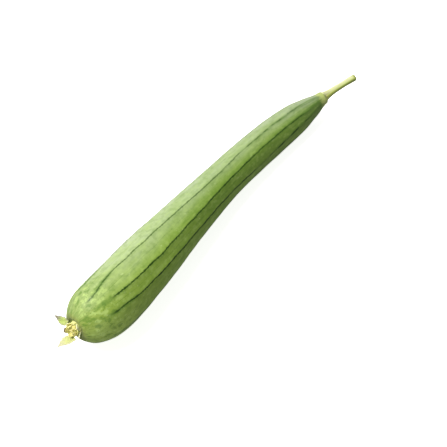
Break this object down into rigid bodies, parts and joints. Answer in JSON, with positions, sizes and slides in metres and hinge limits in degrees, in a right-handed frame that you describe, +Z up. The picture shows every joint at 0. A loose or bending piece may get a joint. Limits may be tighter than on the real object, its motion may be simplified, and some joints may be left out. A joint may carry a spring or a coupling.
{
  "type": "sponge gourd",
  "caption": "Long smooth sponge gourd as picked: green ribbed fruit lying on its side, cut stem at one end, dried calyx and flower at the other.",
  "frame": {"origin": "on the surface the gourd lies on, under the middle of its bounding box", "axes": "+X along the gourd towards the cut stem, -X towards the blossom end, +Z up, +Y to the left when looking towards the stem"},
  "size_m": [0.4272, 0.0578, 0.0536],
  "materials": {
    "skin": "smooth waxy green skin, satin, with dark green lines along the ribs",
    "stalk": "matte pale yellow-green, finely ribbed",
    "calyx": "dry matte, pale yellow-green",
    "petal": "dry crumpled, ochre to brown"
  },
  "bodies": {
    "root": {"fruit": "skin", "stem": "stalk", "calyx_cup": "calyx", "sepal_1": "calyx", "sepal_2": "calyx", "sepal_3": "calyx", "sepal_4": "calyx", "sepal_5": "calyx", "petal_1": "petal", "petal_2": "petal", "petal_3": "petal", "petal_4": "petal", "petal_5": "petal", "style_stump": "petal"}
  },
  "joints": []
}
